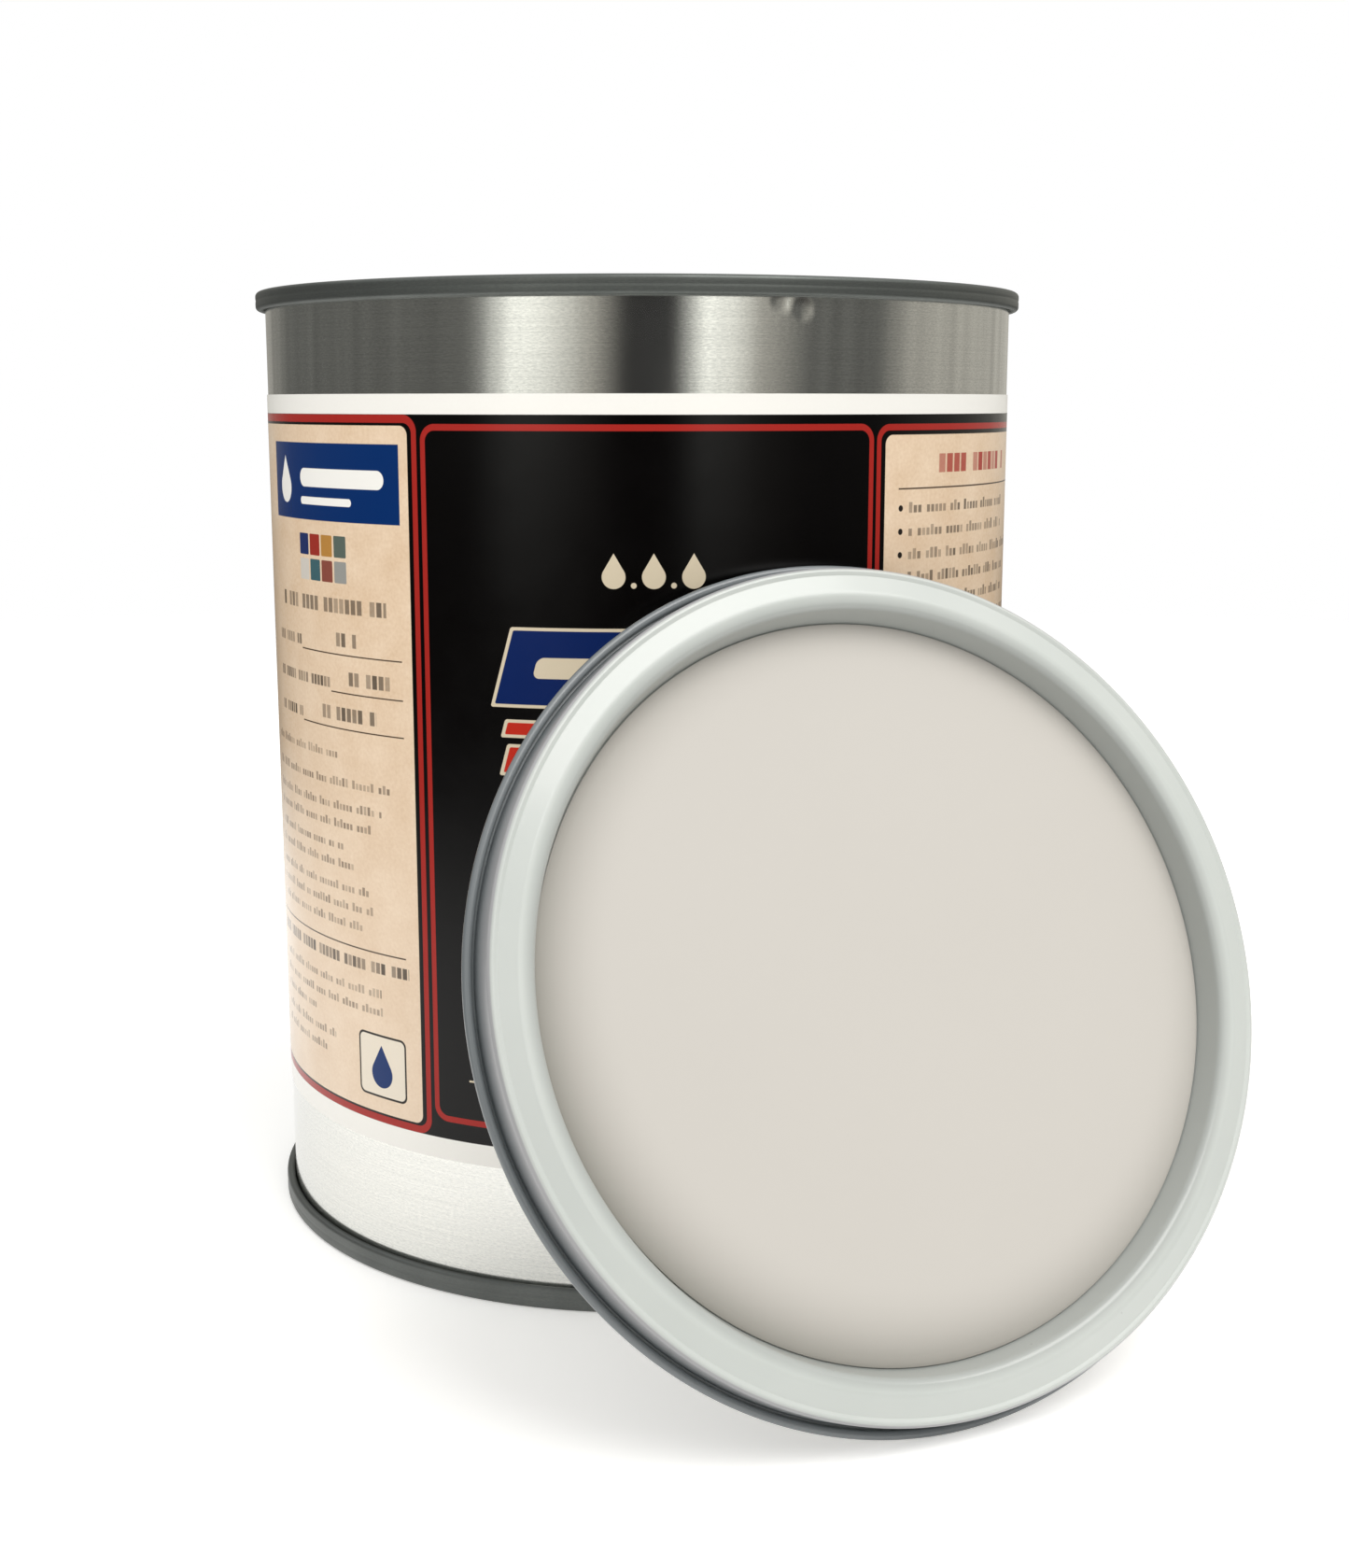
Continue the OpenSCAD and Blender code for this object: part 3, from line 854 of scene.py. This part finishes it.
# Left panel's lower half: notes, and a square mark
start_print("print_left_notes")
for top, rows, right, ragged in (
    (71.0, 1, -45, 0), (67.3, 1, -34.7, 0), (64.1, 2, -32.6, 9), (58.7, 2, -41.4, 3),
    (53.1, 3, -32.4, 10), (39.6, 2, -35.7, 2), (34.7, 1, -52.8, 0), (31.9, 2, -43.7, 14),
):
    type_rows(-68, right, top, type_brown, rows=rows, pitch=2.45, letter=1.15, ragged=ragged, seed=top)
ink(box_mask(-70, -32.6, 44.5, 44.7), type_brown)
capital_row(-69, -32.1, 43.3, type_black, letter=1.5, weight=0.65, seed=21)
ink(box_mask(-42.2, -33.0, 24.6, 33.4, 1.0), type_black)
ink(box_mask(-41.9, -33.3, 24.9, 33.1, 0.8), mark_pale)
ink(drop_mask(-37.6, 28.0, 2.0), block_blue)
end_print(-74.8, -28.6, high=left_split)

# Middle panel: three cream drops, a slanted blue band over a red one, and a filling line
start_print("print_middle")
for centre in (-3.1, 1.8, 6.7):
    ink(drop_mask(centre, 95.2, 1.45), mark_cream)
for centre in (-0.65, 4.25):
    ink(box_mask(centre - 0.35, centre + 0.35, 93.8, 94.5, 0.35), mark_cream)
for low, high, left, right, colour in (
    (78.9, 88.9, -17.5, 20.3, mark_blue),
    (70.3, 74.3, -17.3, 20.1, mark_red),
    (75.1, 77.4, -17.3, 20.1, mark_red),
):
    ink(box_mask(left, right, low, high, 0.3, 0.28), mark_cream)
    ink(box_mask(left + 0.45, right - 0.45, low + 0.4, high - 0.4, 0.2, 0.28), colour)
ink(box_mask(-13.0, 16.0, 82.6, 85.2, 0.9, 0.28), mark_cream)
capital_row(-18.5, 20.5, 64.5, mark_cream, letter=3.6, weight=0.62, seed=5)
capital_row(-22.9, 25.7, 32.6, mark_cream, letter=1.5, weight=0.58, seed=8)
ink(box_mask(-22.9, 25.7, 29.5, 29.75), mark_cream)
end_print(-28.6, 31.3)

# Right panel: a red heading over a rule, and a list with round points
start_print("print_right")
capital_row(43.2, 66.0, 109.6, head_red, letter=2.7, weight=0.72, seed=11)
ink(box_mask(35.4, 74.2, 105.2, 105.4), type_brown)
for i in range(9):
    top = 103.6 - 2.95 * i
    ink(box_mask(35.45, 36.25, top - 1.15, top - 0.35, 0.4), type_black)
    type_rows(37.25, 74.2, top, type_black, letter=1.35, ragged=9, weight=0.54, seed=30.5 + 3 * i)
type_rows(35.4, 74.2, 74.5, type_brown, rows=14, pitch=2.6, letter=1.15, ragged=6, seed=71)
end_print(31.3, 77.5)

# Back, on the right: three columns of notes over a table of coats and drying times
start_print("print_back_text")
for i in range(3):
    left = 81.4 + 27.5 * i
    capital_row(left, left + 24.5, 109.8, head_red, letter=1.9, weight=0.68, seed=90 + i)
    type_rows(
        left, left + 25.5, 106.0, type_brown, letter=1.1, seed=95 + 9 * i, rows=20, pitch=2.45, ragged=7,
    )
for i in range(6):
    ink(box_mask(81.4, 160.8, 52.0 - 4.6 * i, 52.2 - 4.6 * i), type_brown)
for k in range(4):
    left = 82.6 + 20.2 * k
    type_rows(
        left, left + 15, 50.2, type_black, letter=1.5, seed=130.5 + k,
        rows=5, pitch=4.6, ragged=8, weight=0.55,
    )
for i in range(5):
    ink(box_mask(81.4 + 19.8 * i, 81.6 + 19.8 * i, 29.0, 52.2), type_brown)
end_print(77.5, 170)

# Back, on the left: the front's mark again, smaller, with a note under it
start_print("print_back_mark")
for low, high, colour in ((80.2, 88.0, mark_blue), (73.3, 76.4, mark_red), (77.2, 79.0, mark_red)):
    ink(box_mask(-137, -103, low, high, 0.3, 0.28), mark_cream)
    ink(box_mask(-136.6, -103.4, low + 0.4, high - 0.4, 0.2, 0.28), colour)
for centre in (-124.9, -120, -115.1):
    ink(drop_mask(centre, 94.6, 1.45), mark_cream)
type_rows(-150, -90, 66, mark_cream, rows=6, pitch=3.1, letter=1.5, ragged=14, weight=0.53, seed=171)
type_rows(-150, -90, 38, mark_cream, rows=3, pitch=2.7, letter=1.2, ragged=10, seed=180)
end_print(-170, -74.8)

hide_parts("label")
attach(label, "can")
can_pieces.objects.link(label)


# Lid: pressed from one disc of tinplate and leaning, underside out, on the front of the
# can. Its underside is enamelled; its back and its curled edge are bare tin.
lid_r = 51.9
curl_d = 1.1
plug_r = 50.45
plug_h = 5.7
panel_h = 1.55
panel_r = 44.1
half = end_t / 2
curl_bend = (curl_d - end_t) / 2 - 0.02
lean_turn = math.radians(23.2)
lean_back = math.radians(22.1)
lean_gap = 0.3
curl_c_r = lid_r - curl_d / 2
lean_z = curl_c_r * math.cos(lean_back) + curl_d / 2 * (1 - math.sin(lean_back))
lean_out = (body_r + paper_t + lean_gap + curl_c_r * math.sin(lean_back)
            + curl_d / 2 * (1 - math.cos(lean_back)))
lid_place = Vector((math.sin(lean_turn) * lean_out, -math.cos(lean_turn) * lean_out, lean_z)) * mm
lid_turn = (math.pi / 2 - lean_back, 0, lean_turn)


def lean(piece):
    """Moves a piece, made flat with its underside up, to where the lid leans on the can."""
    piece.location = lid_place
    piece.rotation_euler = lid_turn
    bpy.ops.object.select_all(action="DESELECT")
    piece.select_set(True)
    bpy.context.view_layer.objects.active = piece
    bpy.ops.object.transform_apply(location=True, rotation=True, scale=True)


tin_lid = draw_profile("pressed_lid", [
    (lid_r - curl_d + half, curl_d / 2, 0),
    (lid_r - curl_d + half, curl_d - half, curl_bend),
    (lid_r - half, curl_d - half, curl_bend),
    (lid_r - half, half, curl_bend),
    (plug_r - half, half, 0.3),
    (plug_r - half - 0.08, plug_h - half - 0.95, 0.35),
    (plug_r - half - 0.5, plug_h - half - 0.52, 0.2),
    (plug_r - half - 1.05, plug_h - half - 0.72, 0.3),
    (panel_r + half + 2.6, plug_h - half - 0.02, 1.6),
    (panel_r + half + 0.9, plug_h - half - 0.3, 0.9),
    (panel_r + half, panel_h - half, 0.6),
    (22, panel_h - half, 0),
    (0, panel_h - half, 0),
], smoothness=8)
spin_round(tin_lid, steps=320)
faces = bmesh.from_edit_mesh(tin_lid.data).faces
centre_face = min(faces, key=lambda face: face.calc_center_median().xy.length)
if centre_face.normal.z < 0:
    bpy.ops.mesh.select_all(action="SELECT")
    bpy.ops.mesh.flip_normals()
thicken(tin_lid, end_t, back_material=1)
lean(tin_lid)


def lid_coordinates(tree):
    """The place on the lid from its own centre: x and y across it, z towards its underside."""
    place = add(tree, "TexCoord").outputs["Object"]
    leaning = {"Vector": place, "Location": lid_place, "Rotation": lid_turn}
    return add(tree, "Mapping", leaning, vector_type="TEXTURE").outputs[0]


def radius_of(tree, parts):
    """How far a place lies from the axis; parts are its x and y."""
    square_x = calc(tree, "MULTIPLY", parts["X"], parts["X"])
    square_y = calc(tree, "MULTIPLY", parts["Y"], parts["Y"])
    return calc(tree, "SQRT", calc(tree, "ADD", square_x, square_y))


enamel, tree, out = new_material("pale_lid_enamel")
place = lid_coordinates(tree)
parts = add(tree, "SeparateXYZ", {0: place}).outputs
radius = radius_of(tree, parts)
peel = add(tree, "TexNoise", {"Vector": place, "Scale": 700.0, "Detail": 1.0}).outputs[0]
cloud = add(tree, "TexNoise", {"Vector": place, "Scale": 55.0, "Detail": 3.0}).outputs[0]
tone = mix_colour(tree, cloud, (0.56, 0.595, 0.565, 1), (0.64, 0.665, 0.635, 1))
# Chips down to the tin and small specks of dirt
pits = add(tree, "TexVoronoi", {"Vector": place, "Scale": 420.0, "Randomness": 1.0}).outputs
size = add(tree, "SeparateXYZ", {0: pits["Color"]}).outputs
rare = calc(tree, "GREATER_THAN", size["X"], 0.94)
pit = calc(tree, "LESS_THAN", pits["Distance"], calc(tree, "MULTIPLY", size["Y"], 0.13))
pit = calc(tree, "MULTIPLY", pit, rare)
tone = mix_colour(tree, calc(tree, "MULTIPLY", pit, 0.8), tone, (0.12, 0.12, 0.11, 1))
# Darker in patches broken up by noise, over the flange and the foot of the plug's wall
patch_noise = add(tree, "TexNoise", {
    "Vector": place, "Scale": 260.0, "Detail": 4.0, "Roughness": 0.65,
}).outputs[0]
near_edge = blend_range(tree, radius, (plug_r - 0.5) * mm, (plug_r + 0.2) * mm, 0.0, 1.0)
edge_patches = blend_range(tree, calc(tree, "MULTIPLY", patch_noise, near_edge), 0.52, 0.58, 0.0, 1.0)
tone = mix_colour(tree, calc(tree, "MULTIPLY", edge_patches, 0.7), tone, (0.22, 0.23, 0.22, 1))
# The plug's outer wall is drawn thin there and rubbed down to steel grey by the groove; its grey is also
# painted shade, darkest at its foot as painted shade in the corner by the flange
on_wall = blend_range(tree, radius, (plug_r - 0.42) * mm, (plug_r - 0.3) * mm, 0.0, 1.0)
painted_foot_shade = blend_range(tree, parts["Z"], 0.5 * mm, 2.0 * mm, 1.0, 0.0)
high_wall = blend_range(tree, parts["Z"], 1.8 * mm, (plug_h - 1.2) * mm, 0.0, 1.0)
worn_steel_and_painted_shade = mix_colour(tree, high_wall, (0.25, 0.265, 0.275, 1), (0.42, 0.42, 0.43, 1))
worn_steel_and_painted_shade = mix_colour(tree, painted_foot_shade, worn_steel_and_painted_shade, (0.17, 0.19, 0.20, 1))
tone = mix_colour(tree, on_wall, tone, worn_steel_and_painted_shade)
# The inner wall is painted greyer, as painted shade on the steep wall down to the panel
wall_start = blend_range(tree, radius, 44.0 * mm, 44.1 * mm, 0.0, 1.0)
wall_end = blend_range(tree, radius, 45.0 * mm, 46.6 * mm, 1.0, 0.0)
painted_inner_wall_shade = calc(tree, "MULTIPLY", wall_end, wall_start)
tone = mix_colour(tree, calc(tree, "MULTIPLY", painted_inner_wall_shade, 0.75), tone, (0.32, 0.335, 0.32, 1))
relief = calc(tree, "SUBTRACT", calc(tree, "MULTIPLY", peel, 0.3), pit)
bump = add(tree, "Bump", {"Height": relief, "Strength": 0.25, "Distance": 0.03 * mm})
shine = add(tree, "BsdfPrincipled", {
    "Base Color": tone, "Roughness": calc(tree, "MULTIPLY_ADD", cloud, 0.14, 0.24),
    "Coat Weight": 0.35, "Coat Roughness": 0.12, "Normal": bump.outputs[0],
})
tree.links.new(shine.outputs[0], out.inputs["Surface"])

lid_bare, tree, out = new_material("bare_lid_tinplate")
place = add(tree, "SeparateXYZ", {0: lid_coordinates(tree)}).outputs
grain = place_group(tree, rolled_grain, {
    "Along": calc(tree, "MULTIPLY", place["X"], 1000.0),
    "Across": calc(tree, "MULTIPLY", place["Y"], 1000.0),
})
tone = mix_colour(tree, grain["Tone"], (0.64, 0.65, 0.64, 1), (0.76, 0.77, 0.75, 1))
bump = add(tree, "Bump", {"Height": grain["Height"], "Strength": 0.2, "Distance": 0.02 * mm})
tin = add(tree, "BsdfPrincipled", {
    "Base Color": tone, "Metallic": 1.0, "Normal": bump.outputs[0],
    "Roughness": calc(tree, "MULTIPLY_ADD", grain["Cloud"], 0.12, 0.18),
})
tree.links.new(tin.outputs[0], out.inputs["Surface"])
# Enamel goes on the sheet's underside alone; its back and its cut edge stay bare
tin_lid.data.materials.append(enamel)
tin_lid.data.materials.append(lid_bare)
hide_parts("lid_plate")
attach(tin_lid, "lid")


# Dried paint: a skin of the can's own warm grey paint that was left in the lid's panel.
# It is thin, level and closed, and a little thicker where it crept up to the wall.
film_low = panel_h + 0.01
film_high = panel_h + 0.35
paint_film = draw_profile("dried_paint_skin", [
    (0, film_low, 0),
    (panel_r - 0.75, film_low, 0),
    (panel_r - 0.25, film_low + 0.18, 0),
    (panel_r - 0.05, film_high, 0.03),
    (panel_r - 0.45, film_high + 0.02, 0.1),
    (panel_r - 1.3, film_high - 0.03, 0.3),
    (20, film_high - 0.03, 0),
    (0, film_high - 0.03, 0),
])
spin_round(paint_film, steps=320)
bpy.ops.object.mode_set(mode="OBJECT")
bpy.ops.object.shade_smooth_by_angle(angle=math.radians(40))
lean(paint_film)

dried, tree, out = new_material("dried_warm_grey_paint")
place = lid_coordinates(tree)
# Painted shade: the skin darkens towards its edge round a centre set off to the upper right, so it is
# darkest at the lower left
off_centre = add(tree, "VectorMath", {0: place, 1: (2.4 * mm, 1.7 * mm, 0)}, operation="SUBTRACT").outputs[0]
parts = add(tree, "SeparateXYZ", {0: off_centre}).outputs
radius = radius_of(tree, parts)
wet = add(tree, "TexNoise", {"Vector": place, "Scale": 30.0, "Detail": 2.0}).outputs[0]
fine = add(tree, "TexNoise", {"Vector": place, "Scale": 900.0, "Detail": 2.0}).outputs[0]
painted_edge_shade = calc(tree, "POWER", blend_range(tree, radius, 36.5 * mm, 47.6 * mm, 0.0, 1.0), 2.0)
tone = mix_colour(tree, wet, (0.615, 0.585, 0.54, 1), (0.63, 0.60, 0.555, 1))
tone = mix_colour(tree, painted_edge_shade, tone, (0.24, 0.23, 0.20, 1))
bump = add(tree, "Bump", {
    "Height": calc(tree, "MULTIPLY_ADD", fine, 0.06, wet), "Strength": 0.08, "Distance": 0.3 * mm,
})
skin = add(tree, "BsdfPrincipled", {
    "Base Color": tone, "Roughness": calc(tree, "MULTIPLY_ADD", wet, 0.1, 0.5), "Specular IOR Level": 0.3,
    "Normal": bump.outputs[0],
})
tree.links.new(skin.outputs[0], out.inputs["Surface"])
paint_film.data.materials.append(dried)
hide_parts("lid_paint_film")
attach(paint_film, "lid")
